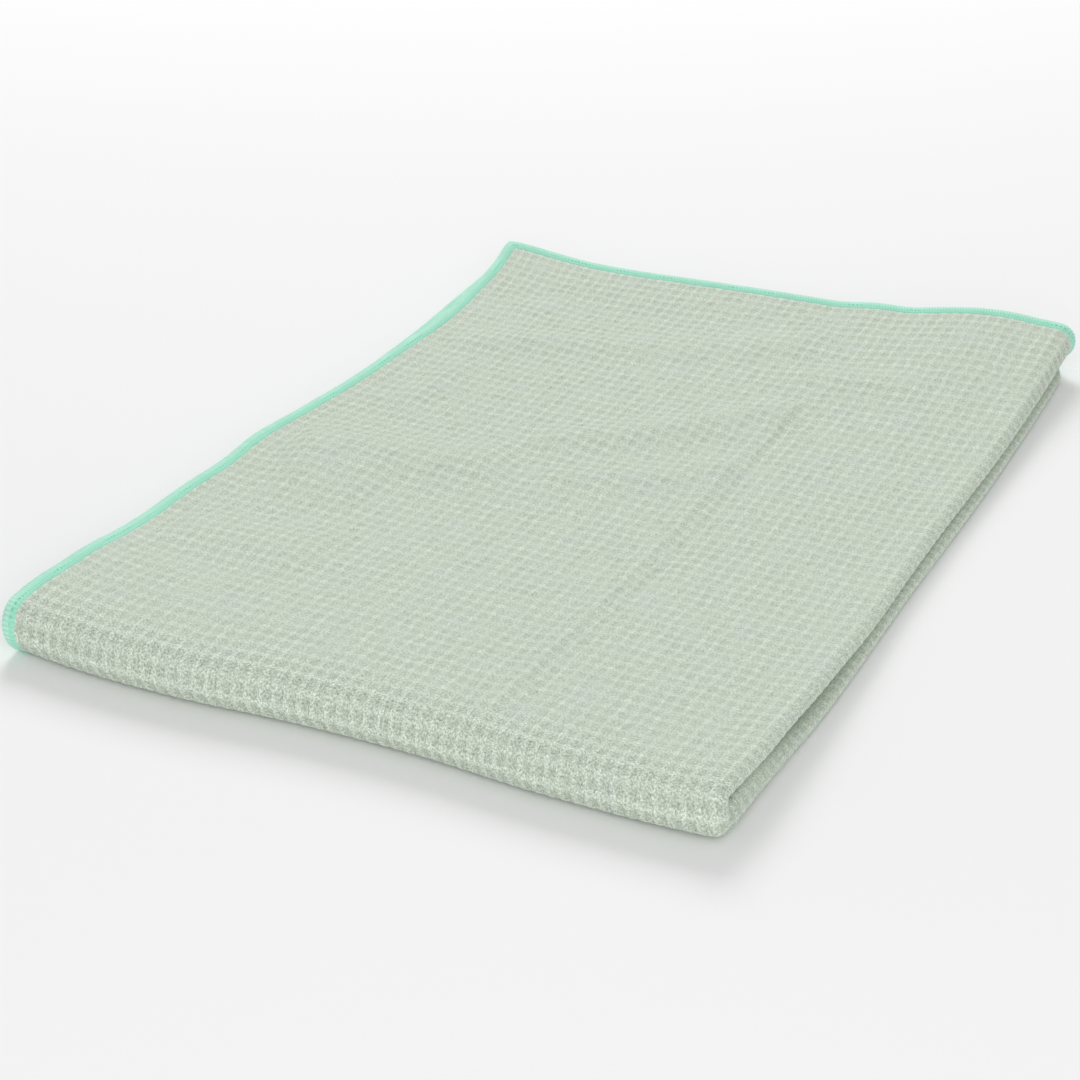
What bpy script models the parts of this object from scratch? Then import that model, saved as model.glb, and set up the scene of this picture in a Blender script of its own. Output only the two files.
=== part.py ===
"""Yoga towel: one sheet of waffle cloth, folded in half twice, with an overlocked edge.

Metres, +Z up. The towel lies on Z = 0. Both pairs of layers roll over at +X, the thick fold is
at -Y, and the sheet's cut edges lie at -X and +Y. Layers are numbered 1 to 4 from the top.

Both pieces are laid out on the flat sheet, and `folded` carries them to their folded place:
  s  the length across the sheet from its right crease, below 0 on layers 1 and 4, which lie
     outside, and above 0 on layers 2 and 3
  c  the length along the sheet from its front crease, below 0 on layers 1 and 2, the upper
     pair, and above 0 on layers 3 and 4, the lower pair
"""

from collections import namedtuple
from math import pi

import bmesh
import bpy
import numpy as np

MM = 0.001

# The flat sheet
SHEET_WIDTH = 500 * MM
SHEET_LENGTH = 705 * MM
CLOTH_THICKNESS = 1.8 * MM

# The folded stack
LAYER_SPACING = 2.4 * MM  # between the middles of two layers that lie together
ROLL_X = 124 * MM  # where a layer starts to turn into a right roll
ROLL_RADIUS = 1.6 * MM
ROLL_OPENING = 0.3 * MM  # how much more each half of a roll opens than the layers do
ROLL_OPENING_REACH = 15 * MM
FRONT_Y = -169.9 * MM  # where a layer starts to turn into the front fold
FRONT_RADIUS = 6.3 * MM

# How the front fold stands open, and how it closes towards the back
FRONT_BULGE = 7.6 * MM
FRONT_CLOSES_OVER = 150 * MM
LEFT_END_BULGE = 0.4 * MM  # the left end stands this much taller
LEFT_END_HOLDS_FOR = 30 * MM  # it stays tall for this long, and then
LEFT_END_CLOSES_OVER = 55 * MM  # it closes within this length
LEFT_END_REACH = 130 * MM

# The overlocked edge: a U of thread round the thinned rim of the cloth
CLEARANCE = 0.3 * MM
THREAD_WALL = 0.4 * MM
RIM_THICKNESS = 0.7 * MM
RIM_WIDTH = 5.0 * MM
OVERLOCK_THICKNESS = RIM_THICKNESS + 2 * (CLEARANCE + THREAD_WALL)
OVERLOCK_LIFT = (OVERLOCK_THICKNESS - CLOTH_THICKNESS) / 2  # sets its underside level with the cloth's
OVERLOCK_LIFT_REACH = 14 * MM

# The facets
ROLL_FACETS = 6
PUFFED_ROLL_FACETS = 6  # more, which only turn where the roll is puffed
PUFFED_TURN = 8.5 * MM  # the length of a quarter turn of the most puffed roll
FRONT_FACETS = 8
FLAT_FACETS_ACROSS = 12
FLAT_FACETS_ALONG = 16

Hump = namedtuple("Hump", "x y reach_x reach_y height")
Stray = namedtuple("Stray", "at by")  # an edge strays `by` from straight at this place along it

# Where layer 1 stands off layer 2
PUFFS = (
    Hump(x=102 * MM, y=185 * MM, reach_x=66 * MM, reach_y=135 * MM, height=4.2 * MM),  # back right
    Hump(x=60 * MM, y=190 * MM, reach_x=150 * MM, reach_y=130 * MM, height=1.0 * MM),
    Hump(x=46 * MM, y=185 * MM, reach_x=18 * MM, reach_y=60 * MM, height=0.9 * MM),  # old crease
    Hump(x=-10 * MM, y=190 * MM, reach_x=170 * MM, reach_y=80 * MM, height=1.6 * MM),  # back edge
    Hump(x=-130 * MM, y=190 * MM, reach_x=75 * MM, reach_y=70 * MM, height=1.3 * MM),  # back left
    Hump(x=123 * MM, y=-180 * MM, reach_x=60 * MM, reach_y=130 * MM, height=1.0 * MM),  # front right
)
# Where the upper pair stands off the lower pair
LIFTS = (
    Hump(x=115 * MM, y=185 * MM, reach_x=80 * MM, reach_y=70 * MM, height=1.6 * MM),
    Hump(x=-130 * MM, y=185 * MM, reach_x=55 * MM, reach_y=70 * MM, height=2.0 * MM),
    Hump(x=123 * MM, y=-180 * MM, reach_x=60 * MM, reach_y=130 * MM, height=-2.0 * MM),
)
# How far the front fold stands out, along X
FRONT_STRAYS = (
    Stray(at=-125 * MM, by=-0.5 * MM),
    Stray(at=-95 * MM, by=2.2 * MM),
    Stray(at=-60 * MM, by=2.1 * MM),
    Stray(at=-20 * MM, by=-1.3 * MM),
    Stray(at=25 * MM, by=-2.3 * MM),
    Stray(at=65 * MM, by=-0.4 * MM),
    Stray(at=100 * MM, by=-1.6 * MM),
    Stray(at=125 * MM, by=-4.0 * MM),
)
# How far the back edges lie out, along X
BACK_STRAYS = (
    Stray(at=-125 * MM, by=0.5 * MM),
    Stray(at=-80 * MM, by=-2.0 * MM),
    Stray(at=0 * MM, by=0.0 * MM),
    Stray(at=80 * MM, by=4.0 * MM),
    Stray(at=125 * MM, by=5.0 * MM),
)
# How far the right rolls lie out, along Y
RIGHT_STRAYS = (
    Stray(at=-178 * MM, by=-2.8 * MM),
    Stray(at=-126 * MM, by=-1.5 * MM),
    Stray(at=-100 * MM, by=-0.4 * MM),
    Stray(at=-70 * MM, by=-0.1 * MM),
    Stray(at=-30 * MM, by=-0.2 * MM),
    Stray(at=70 * MM, by=1.0 * MM),
    Stray(at=130 * MM, by=0.2 * MM),
    Stray(at=180 * MM, by=-1.6 * MM),
)
# How far the upper roll lies back from the lower one, along Y
SETBACKS = (
    Stray(at=-180 * MM, by=2.2 * MM),
    Stray(at=-164 * MM, by=1.0 * MM),
    Stray(at=-148 * MM, by=0.2 * MM),
    Stray(at=-125 * MM, by=0.6 * MM),
    Stray(at=-85 * MM, by=1.2 * MM),
    Stray(at=-55 * MM, by=0.9 * MM),
    Stray(at=-10 * MM, by=1.6 * MM),
    Stray(at=40 * MM, by=1.9 * MM),
    Stray(at=80 * MM, by=1.0 * MM),
    Stray(at=130 * MM, by=0.0 * MM),
    Stray(at=160 * MM, by=-0.9 * MM),
    Stray(at=180 * MM, by=-1.6 * MM),
)
SETBACK_LOST_AT = 0.6  # of the way up the front fold, where the two rolls become one
# How far the left edges lie in, along Y
LEFT_STRAYS = (
    Stray(at=-178 * MM, by=-1.4 * MM),
    Stray(at=-158 * MM, by=-2.3 * MM),
    Stray(at=-140 * MM, by=-0.6 * MM),
    Stray(at=-120 * MM, by=-0.6 * MM),
    Stray(at=-90 * MM, by=-3.4 * MM),
    Stray(at=-68 * MM, by=-2.7 * MM),
    Stray(at=-46 * MM, by=-0.7 * MM),
    Stray(at=-24 * MM, by=-1.0 * MM),
    Stray(at=0 * MM, by=2.6 * MM),
    Stray(at=30 * MM, by=6.9 * MM),
    Stray(at=70 * MM, by=9.7 * MM),
    Stray(at=95 * MM, by=10.9 * MM),
    Stray(at=125 * MM, by=8.7 * MM),
    Stray(at=155 * MM, by=6.4 * MM),
    Stray(at=180 * MM, by=1.6 * MM),
)
LOWER_PAIR_SHARE = 0.35  # the lower pair's left edges stray this share as far
LOWER_SET_OUT = 2.5 * MM  # the lower pair's back edges lie this much further out
# The back end of the lower roll is tucked in under the upper one
TUCK = 3.5 * MM
TUCK_FROM_Y = 162 * MM
TUCK_LENGTH = 12 * MM


def ease(t):
    """0 to 1 over t from 0 to 1, level at both ends."""
    t = np.clip(t, 0, 1)
    return t * t * (3 - 2 * t)


def fade(distance, reach):
    """1 up to a distance of 0, falling to 0 at the reach."""
    return 1 - ease(distance / reach)


def height_of(humps, x, y):
    """The height of these soft round humps at x, y."""
    height = 0
    for hump in humps:
        along_x = np.clip(np.abs(x - hump.x) / hump.reach_x, 0, 1)
        along_y = np.clip(np.abs(y - hump.y) / hump.reach_y, 0, 1)
        height = height + hump.height * (1 + np.cos(pi * along_x)) * (1 + np.cos(pi * along_y)) / 4
    return height


def stray(rows, at):
    """A smooth curve through the rows of a table of strays."""
    places = np.array([row.at for row in rows])
    values = np.array([row.by for row in rows])
    slopes = np.gradient(values, places)
    at = np.clip(at, places[0], places[-1])
    i = np.clip(np.searchsorted(places, at, side="right") - 1, 0, len(rows) - 2)
    step = places[i + 1] - places[i]
    t = (at - places[i]) / step
    level = values[i] + (values[i + 1] - values[i]) * ease(t)
    bend = (1 - t) ** 2 * t * step * slopes[i] - t**2 * (1 - t) * step * slopes[i + 1]
    return level + bend


def open_half(x, y, puffs):
    """Half the distance between the two layers of a pair."""
    return LAYER_SPACING / 2 + ROLL_OPENING * fade(ROLL_X - x, ROLL_OPENING_REACH) + height_of(puffs, x, y)


def between_pairs(x, y):
    """The distance from layer 2 to layer 3."""
    left = fade(x + SHEET_WIDTH / 4, LEFT_END_REACH)
    bulge = FRONT_BULGE + LEFT_END_BULGE * left
    holds_for = LEFT_END_HOLDS_FOR * left
    closes_over = FRONT_CLOSES_OVER + (LEFT_END_CLOSES_OVER - FRONT_CLOSES_OVER) * left
    return LAYER_SPACING + bulge * fade(y - FRONT_Y - holds_for, closes_over) + height_of(LIFTS, x, y)


def folded(s, c):
    """Where the middle of the sheet lies, in its folds, at the lengths s across and c along."""
    s, c = np.broadcast_arrays(s, c)
    # Each layer is flat up to a crease, then turns a quarter circle to reach it.
    turn_front = np.clip(-c / FRONT_RADIUS, -pi / 2, pi / 2)
    y_flat = FRONT_Y + np.maximum(np.abs(c) - FRONT_RADIUS * pi / 2, 0)
    upper = (1 + np.sin(turn_front)) / 2  # 1 on the upper pair, 0 on the lower one

    # The further a pair of layers stands open, the rounder its roll.
    at_roll = open_half(ROLL_X, y_flat, ()) + upper * height_of(PUFFS, ROLL_X, y_flat)
    radius = ROLL_RADIUS * at_roll / open_half(ROLL_X, y_flat, ())
    turn_right = np.clip(s / radius, -pi / 2, pi / 2)
    x_flat = ROLL_X + ROLL_RADIUS - radius - np.maximum(np.abs(s) - radius * pi / 2, 0)
    outer = -np.sin(turn_right)  # 1 on an outer layer, -1 on an inner one

    half_lower = open_half(x_flat, y_flat, ())
    half_upper = open_half(x_flat, y_flat, PUFFS)
    z_lower = CLOTH_THICKNESS / 2 + half_lower
    z_upper = CLOTH_THICKNESS / 2 + 2 * half_lower + between_pairs(x_flat, y_flat) + half_upper
    half = half_lower + (half_upper - half_lower) * upper

    x = x_flat + radius * np.cos(turn_right)
    y = y_flat - (FRONT_RADIUS + outer * half) * np.cos(turn_front)
    z = (z_upper + z_lower) / 2 + ((z_upper - z_lower) / 2 + outer * half) * np.sin(turn_front)

    # The folded and cut edges stray from straight.
    near_right = ease((x - 30 * MM) / (95 * MM))
    near_left = ease((-20 * MM - x) / (105 * MM))
    near_back = ease((y - 20 * MM) / (155 * MM))
    near_front = fade(y + 180 * MM, 100 * MM)
    tucked = TUCK * ease((y - TUCK_FROM_Y) / TUCK_LENGTH) * (1 - upper)
    left_share = LOWER_PAIR_SHARE + (1 - LOWER_PAIR_SHARE) * upper
    set_back = stray(SETBACKS, y) * ease((upper - SETBACK_LOST_AT) / (1 - SETBACK_LOST_AT))
    x = x + (stray(RIGHT_STRAYS, y) - set_back - tucked) * near_right
    x = x + stray(LEFT_STRAYS, y) * left_share * near_left
    y = y + (stray(BACK_STRAYS, x) + LOWER_SET_OUT * (1 - upper)) * near_back
    y = y - stray(FRONT_STRAYS, x) * near_front

    # The overlock is thicker than the cloth, and lifts the edge that lies on the ground.
    to_edge = np.minimum(SHEET_WIDTH / 2 - np.abs(s), SHEET_LENGTH / 2 - np.abs(c))
    z = z + OVERLOCK_LIFT * fade(to_edge - RIM_WIDTH, OVERLOCK_LIFT_REACH - RIM_WIDTH)
    return np.stack([x, y, z], axis=-1)


def facing(s, c):
    """The unit normal of the folded sheet, up on layers 2 and 4 and down on layers 1 and 3."""
    step = 0.05 * MM
    across = folded(s + step, c) - folded(s - step, c)
    along = folded(s, c + step) - folded(s, c - step)
    normal = np.cross(across, along)
    return normal / np.linalg.norm(normal, axis=-1, keepdims=True)


def both_ways(half_stations):
    """The stations from 0 outwards, with their mirror image below 0."""
    half_stations = np.unique(np.round(half_stations, 7))
    return np.concatenate([-half_stations[:0:-1], half_stations])


def stations_across():
    """Where the facets meet along s: close together round the roll, wider on the flat."""
    edge = SHEET_WIDTH / 2
    turned = ROLL_RADIUS * pi / 2
    round_roll = np.linspace(0, turned, ROLL_FACETS // 2 + 1)
    round_puffed_roll = np.linspace(turned, PUFFED_TURN, PUFFED_ROLL_FACETS // 2 + 1)
    flat = np.linspace(0, 1, FLAT_FACETS_ACROSS + 1) ** 1.25
    shoulder = edge - RIM_WIDTH - CLEARANCE
    on_flat = PUFFED_TURN + (shoulder - PUFFED_TURN) * flat
    stations = [round_roll, round_puffed_roll, on_flat, [edge - RIM_WIDTH, edge]]
    return both_ways(np.concatenate(stations))


def stations_along():
    """Where the facets meet along c: close together round the front fold, wider on the flat."""
    edge = SHEET_LENGTH / 2
    turned = FRONT_RADIUS * pi / 2
    round_front = np.linspace(0, turned, FRONT_FACETS // 2 + 1)
    shoulder = edge - RIM_WIDTH - CLEARANCE
    on_flat = np.linspace(turned, shoulder, FLAT_FACETS_ALONG + 1)
    return both_ways(np.concatenate([round_front, on_flat, [edge - RIM_WIDTH, edge]]))


def fabric(name, colour, roughness):
    """A plain fabric of this linear colour."""
    material = bpy.data.materials.new(name)
    material.use_nodes = True
    shader = material.node_tree.nodes["Principled BSDF"]
    shader.inputs["Base Color"].default_value = (*colour, 1)
    shader.inputs["Roughness"].default_value = roughness
    shader.inputs["Metallic"].default_value = 0
    return material


def add_object(name, bm, material):
    """Adds this mesh to the scene as an object, shaded smooth but for its sharp edges."""
    mesh = bpy.data.meshes.new(name)
    bm.to_mesh(mesh)
    bm.free()
    mesh.materials.append(material)
    mesh.shade_smooth()
    mesh.set_sharp_from_angle(angle=pi / 4)
    piece = bpy.data.objects.new(name, mesh)
    bpy.context.scene.collection.objects.link(piece)
    return piece


def towel_cloth():
    """The folded sheet, with its rim thinned all round for the overlock to grip."""
    across = stations_across()
    along = stations_along()
    bm = bmesh.new()
    bmesh.ops.create_grid(bm, x_segments=len(across) - 1, y_segments=len(along) - 1, size=0.5)
    weights = bm.verts.layers.deform.verify()
    for vertex in bm.verts:
        s = across[round((vertex.co.x + 0.5) * (len(across) - 1))]
        c = along[round((vertex.co.y + 0.5) * (len(along) - 1))]
        to_edge = min(SHEET_WIDTH / 2 - abs(s), SHEET_LENGTH / 2 - abs(c))
        on_rim = to_edge < RIM_WIDTH + CLEARANCE / 2
        vertex[weights][0] = RIM_THICKNESS / CLOTH_THICKNESS if on_rim else 1
        vertex.co = folded(s, c)
    cloth = add_object("towel_cloth", bm, fabric("Grey-green waffle cloth", (0.56, 0.64, 0.54), 0.95))

    cloth.vertex_groups.new(name="thickness")
    solidify = cloth.modifiers.new("Cloth thickness", "SOLIDIFY")
    solidify.thickness = CLOTH_THICKNESS
    solidify.offset = 0
    solidify.vertex_group = "thickness"
    return cloth


def overlock_section():
    """The U of the overlock: (distance in from the cloth's edge, height over the cloth's middle)."""
    inside = RIM_THICKNESS / 2 + CLEARANCE
    outside = inside + THREAD_WALL
    lip = RIM_WIDTH - CLEARANCE
    bottom = -CLEARANCE
    nose = bottom - THREAD_WALL
    upper_half = ((lip, inside), (lip, outside), (bottom, outside), (nose, inside))
    lower_half = tuple((inset, -height) for inset, height in reversed(upper_half))
    return (*upper_half, *lower_half, (bottom, -inside), (bottom, inside))


def round_the_sheet(inset):
    """The loop of s, c round the sheet, this far in from its edge, with mitred corners."""
    s_edge = SHEET_WIDTH / 2 - inset
    c_edge = SHEET_LENGTH / 2 - inset
    clear_of_corner = RIM_WIDTH + CLEARANCE / 2
    across = [s for s in stations_across() if abs(s) < SHEET_WIDTH / 2 - clear_of_corner]
    along = [c for c in stations_along() if abs(c) < SHEET_LENGTH / 2 - clear_of_corner]
    loop = [(-s_edge, -c_edge)] + [(s, -c_edge) for s in across]
    loop += [(s_edge, -c_edge)] + [(s_edge, c) for c in along]
    loop += [(s_edge, c_edge)] + [(s, c_edge) for s in reversed(across)]
    loop += [(-s_edge, c_edge)] + [(-s_edge, c) for c in reversed(along)]
    return np.array(loop)


def overlock_edge():
    """The overlock: one closed loop that wraps the whole edge of the sheet."""
    bm = bmesh.new()
    rails = []
    for inset, height in overlock_section():
        s, c = round_the_sheet(inset).T
        points = folded(s, c) + height * facing(s, c)
        rails.append([bm.verts.new(point) for point in points])
    for rail, next_rail in zip(rails, rails[1:] + rails[:1]):
        for i in range(len(rail)):
            bm.faces.new((rail[i - 1], rail[i], next_rail[i], next_rail[i - 1]))
    bmesh.ops.recalc_face_normals(bm, faces=bm.faces)
    return add_object("overlock_edge", bm, fabric("Mint overlock thread", (0.41, 0.74, 0.58), 0.85))


def main():
    for old_object in list(bpy.data.objects):
        bpy.data.objects.remove(old_object)
    towel = bpy.data.objects.new("towel", None)
    bpy.context.scene.collection.objects.link(towel)
    for piece in (towel_cloth(), overlock_edge()):
        piece.parent = towel


if __name__ == "__main__":
    main()
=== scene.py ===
"""A waffle-weave yoga towel, folded in half twice, with a mint overlocked edge.

Metres, +Z up. The towel lies on Z = 0, its thick fold at -Y and its right rolls at +X. Layers are
numbered 1 to 4 from the top.

Both pieces are laid out on the flat sheet, and `folded` carries them to their folded place:
  s  the length across the sheet from its right crease, below 0 on layers 1 and 4, which lie
     outside, and above 0 on layers 2 and 3
  c  the length along the sheet from its front crease, below 0 on layers 1 and 2, the upper
     pair, and above 0 on layers 3 and 4, the lower pair
"""

from collections import namedtuple
from math import cos, pi, radians, sin

import bpy
import numpy as np
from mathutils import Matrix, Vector


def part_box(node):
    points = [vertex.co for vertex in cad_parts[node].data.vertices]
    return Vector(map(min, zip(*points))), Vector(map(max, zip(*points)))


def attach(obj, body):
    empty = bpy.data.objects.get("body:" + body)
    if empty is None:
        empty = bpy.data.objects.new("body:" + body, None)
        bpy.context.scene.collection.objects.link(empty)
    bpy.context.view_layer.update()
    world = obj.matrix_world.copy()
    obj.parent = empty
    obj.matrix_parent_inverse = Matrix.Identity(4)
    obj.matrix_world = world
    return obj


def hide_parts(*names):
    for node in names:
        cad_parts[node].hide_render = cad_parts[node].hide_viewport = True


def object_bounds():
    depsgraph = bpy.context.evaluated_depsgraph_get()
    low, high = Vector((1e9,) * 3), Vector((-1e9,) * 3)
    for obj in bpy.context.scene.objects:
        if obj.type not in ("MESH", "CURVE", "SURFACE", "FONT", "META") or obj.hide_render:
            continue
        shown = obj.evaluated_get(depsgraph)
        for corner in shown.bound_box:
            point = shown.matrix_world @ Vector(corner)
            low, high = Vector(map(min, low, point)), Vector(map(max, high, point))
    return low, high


bl_info = {
    "name": "Folded yoga towel",
    "version": (1, 0, 0),
    "blender": (4, 5, 0),
    "location": "3D View > Sidebar > Towel",
    "description": "A waffle-weave yoga towel, folded in half twice, with an overlocked edge",
    "category": "Object",
}

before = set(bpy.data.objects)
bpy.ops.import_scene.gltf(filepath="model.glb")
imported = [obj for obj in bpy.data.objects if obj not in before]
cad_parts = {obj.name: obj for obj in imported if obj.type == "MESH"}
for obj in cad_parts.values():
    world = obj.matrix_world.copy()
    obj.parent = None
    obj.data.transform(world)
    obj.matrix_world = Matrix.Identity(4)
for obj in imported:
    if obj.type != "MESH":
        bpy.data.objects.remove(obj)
CAD_LOW, CAD_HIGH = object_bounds()
CLOTH_LOW, CLOTH_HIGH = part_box("towel_cloth")

MM = 0.001

# ---------------------------------------------------------------------------------------------
# The sheet and its folds
# ---------------------------------------------------------------------------------------------

SHEET_WIDTH = 500 * MM
SHEET_LENGTH = 705 * MM
CLOTH_THICKNESS = 1.8 * MM
CORNER_ROUNDING = 6 * MM
CORNER_DRAWN_IN = 0.55  # 0 would leave the corners square, and 1 make them quarter circles

LAYER_SPACING = 2.4 * MM  # between the middles of two layers that lie together
ROLL_X = CLOTH_HIGH.x - 3.5 * MM  # where a layer starts to turn into a right roll
ROLL_RADIUS = 1.6 * MM
ROLL_OPENING = 0.3 * MM  # how much more each half of a roll opens than the layers do
ROLL_OPENING_REACH = 15 * MM
FRONT_Y = CLOTH_LOW.y + 10.83 * MM  # where a layer starts to turn into the front fold
FRONT_RADIUS = 6.3 * MM

# How the front fold stands open, and how it closes towards the back
FRONT_BULGE = 7.6 * MM
FRONT_CLOSES_OVER = 150 * MM
LEFT_END_BULGE = 0.4 * MM
LEFT_END_HOLDS_FOR = 30 * MM
LEFT_END_CLOSES_OVER = 55 * MM
LEFT_END_REACH = 130 * MM

OVERLOCK_LIFT = 0.15 * MM  # how far the thick edge lifts the layer that lies on the ground
OVERLOCK_LIFT_REACH = 14 * MM
CAD_RIM_WIDTH = 4.6 * MM  # of the part's own plain overlock

Hump = namedtuple("Hump", "x y reach_x reach_y height")
Stray = namedtuple("Stray", "at by")  # an edge strays `by` from straight at this place along it
Crease = namedtuple("Crease", "x0 y0 x1 y1 reach height")  # a soft ridge, or a trough below 0

# Where layer 1 stands off layer 2, in millimetres for each half of the opening
PUFFS = (
    Hump(x=102, y=185, reach_x=66, reach_y=135, height=4.2),
    Hump(x=60, y=190, reach_x=150, reach_y=130, height=1.0),
    Hump(x=46, y=185, reach_x=18, reach_y=60, height=0.9),
    Hump(x=-10, y=190, reach_x=170, reach_y=80, height=1.6),
    Hump(x=-130, y=190, reach_x=75, reach_y=70, height=1.3),
    Hump(x=123, y=-180, reach_x=60, reach_y=130, height=0.3),
)
# Where layer 4 stands off layer 3, the same way
LOWER_PUFFS = (Hump(x=123, y=-180, reach_x=60, reach_y=90, height=3.0),)
# Where the upper pair stands off the lower pair, in millimetres
LIFTS = (
    Hump(x=115, y=185, reach_x=80, reach_y=70, height=1.6),
    Hump(x=-130, y=185, reach_x=55, reach_y=70, height=2.0),
    Hump(x=123, y=-180, reach_x=60, reach_y=130, height=-2.0),
    Hump(x=123, y=-180, reach_x=60, reach_y=90, height=-4.6),
)
# How far the front fold stands out, along X
FRONT_STRAYS = (
    Stray(at=-125, by=-0.5),
    Stray(at=-95, by=2.2),
    Stray(at=-60, by=2.1),
    Stray(at=-20, by=-1.3),
    Stray(at=25, by=-2.3),
    Stray(at=65, by=-0.4),
    Stray(at=100, by=-1.6),
    Stray(at=125, by=-4.0),
)
# How far the back edges lie out, along X
BACK_STRAYS = (
    Stray(at=-125, by=0.5),
    Stray(at=-80, by=-2.0),
    Stray(at=0, by=0.0),
    Stray(at=80, by=4.0),
    Stray(at=125, by=5.0),
)
# How far the right rolls lie out, along Y
RIGHT_STRAYS = (
    Stray(at=-178, by=-2.8),
    Stray(at=-126, by=-1.5),
    Stray(at=-100, by=-0.4),
    Stray(at=-70, by=-0.1),
    Stray(at=-30, by=-0.2),
    Stray(at=70, by=1.0),
    Stray(at=130, by=0.2),
    Stray(at=180, by=-1.6),
)
# How far the upper roll lies back from the lower one, along Y
SETBACKS = (
    Stray(at=-180, by=2.2),
    Stray(at=-164, by=1.0),
    Stray(at=-148, by=0.2),
    Stray(at=-125, by=0.6),
    Stray(at=-85, by=1.2),
    Stray(at=-55, by=0.9),
    Stray(at=-10, by=1.6),
    Stray(at=40, by=1.9),
    Stray(at=80, by=1.0),
    Stray(at=130, by=0.0),
    Stray(at=160, by=-0.9),
    Stray(at=180, by=-1.6),
)
SETBACK_LOST_AT = 0.6  # of the way up the front fold, where the two rolls become one
# How far the left edges lie in, along Y
LEFT_STRAYS = (
    Stray(at=-178, by=-1.4),
    Stray(at=-158, by=-2.3),
    Stray(at=-140, by=-0.6),
    Stray(at=-120, by=-0.6),
    Stray(at=-90, by=-3.4),
    Stray(at=-68, by=-2.7),
    Stray(at=-46, by=-0.7),
    Stray(at=-24, by=-1.0),
    Stray(at=0, by=2.6),
    Stray(at=30, by=6.9),
    Stray(at=70, by=9.7),
    Stray(at=95, by=10.9),
    Stray(at=125, by=8.7),
    Stray(at=155, by=6.4),
    Stray(at=180, by=1.6),
)
# Where the strays set in, and the length over which they grow to their full size
RIGHT_STRAYS_FROM, RIGHT_STRAYS_OVER = 30 * MM, 95 * MM
LEFT_STRAYS_FROM, LEFT_STRAYS_OVER = -20 * MM, 105 * MM
BACK_STRAYS_FROM, BACK_STRAYS_OVER = 20 * MM, 155 * MM
FRONT_STRAYS_FULL_TO, FRONT_STRAYS_LOST_OVER = -180 * MM, 100 * MM  # full up to there, then less
LOWER_PAIR_SHARE = 0.35  # the lower pair's left edges stray this share as far
LOWER_SET_OUT = 2.5 * MM  # the lower pair's back edges lie this much further out
TUCK = 6.2 * MM  # how far the back end of the lower roll is tucked in under the upper one
TUCK_FROM_Y = 162 * MM
TUCK_LENGTH = 12 * MM

# The old creases and soft waves of the top layer, in millimetres
CREASES = (
    # The fold line along the towel, a ridge with a dip beside it
    Crease(x0=42, y0=-165, x1=43, y1=20, reach=4.2, height=1.2),
    Crease(x0=43, y0=20, x1=45, y1=88, reach=3.8, height=1.0),
    Crease(x0=48, y0=-165, x1=49, y1=20, reach=4.2, height=-0.8),
    Crease(x0=49, y0=20, x1=51, y1=88, reach=3.8, height=-0.7),
    # The ridge that runs in from the left edge, with a broad front slope, and fans out towards that line
    Crease(x0=-106, y0=-21, x1=-78, y1=-17, reach=16, height=3.4),
    Crease(x0=-78, y0=-17, x1=-32, y1=-5, reach=15, height=3.3),
    Crease(x0=-100, y0=-40, x1=-66, y1=-38, reach=20, height=2.2),
    Crease(x0=-26, y0=18, x1=4, y1=40, reach=10, height=2.9),
    Crease(x0=4, y0=40, x1=26, y1=62, reach=10, height=3.1),
    Crease(x0=26, y0=62, x1=44, y1=82, reach=9, height=2.6),
    Crease(x0=-14, y0=-8, x1=20, y1=8, reach=9, height=1.9),
    Crease(x0=20, y0=8, x1=43, y1=29, reach=9, height=2.0),
    # Waves across the back half
    Crease(x0=-104, y0=82, x1=-78, y1=96, reach=9, height=1.9),
    Crease(x0=-78, y0=96, x1=-22, y1=108, reach=9, height=1.9),
    Crease(x0=-22, y0=108, x1=38, y1=140, reach=11, height=1.8),
    Crease(x0=-96, y0=118, x1=-74, y1=140, reach=10, height=1.2),
    Crease(x0=-94, y0=24, x1=-90, y1=66, reach=8, height=1.3),
    Crease(x0=34, y0=108, x1=82, y1=114, reach=9, height=1.7),
    # The dip behind the bulge of the front fold, and the rise beyond it
    Crease(x0=-112, y0=-116, x1=-62, y1=-115, reach=9, height=-1.0),
    Crease(x0=-62, y0=-114, x1=36, y1=-115, reach=11, height=-0.6),
    Crease(x0=-108, y0=-92, x1=-54, y1=-94, reach=16, height=2.6),
    # The dip in front of the back edge
    Crease(x0=-98, y0=136, x1=-40, y1=134, reach=13, height=-1.0),
    Crease(x0=-40, y0=138, x1=20, y1=146, reach=13, height=-0.9),
)
CREASE_END = 14  # over which a crease dies away, in millimetres

# ---------------------------------------------------------------------------------------------
# The weave and the overlock
# ---------------------------------------------------------------------------------------------

CELLS_ACROSS = 112  # waffle cells in the width of the sheet, about 4.5 mm each
CELLS_ALONG = 134  # and in its length, about 5.3 mm each
CELL_ACROSS = SHEET_WIDTH / CELLS_ACROSS
CELL_ALONG = SHEET_LENGTH / CELLS_ALONG
RIDGE_HALF_WIDTH = 0.12  # in cells, from the middle of a ridge to where it starts to fall
FRAY = 0.14  # in cells, the width over which threads fray the drawn edge of a ridge
WALL_FROM, WALL_TO = 0.08, 0.34  # in cells, where the drawn wall of a ridge starts and ends
PIT_FROM = 0.30  # in cells, from the middle of a ridge to the floor of the pit
OPENED_FOR = 1.5  # in cells, how far from a fold the weave is drawn fully open
OPENED_TO = 5.0  # and from where it lies as usual
ROLL_OPENS_LESS = 3.0  # in cells, how many fewer the tighter right rolls draw open
PLAIN_SINK = 0.3  # how deep the plain faces lie, as a share of a pit's depth
CELLS_PER_COARSE_FACET = 2
CELLS_ROUND_THE_ROLL = 9.5 * MM  # how far past the right crease the cells are modelled
CELLS_UNDER_THE_FOLD = 10.9 * MM  # and how far past the front one
CLOSEST_STATIONS = 0.3 * MM
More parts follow.
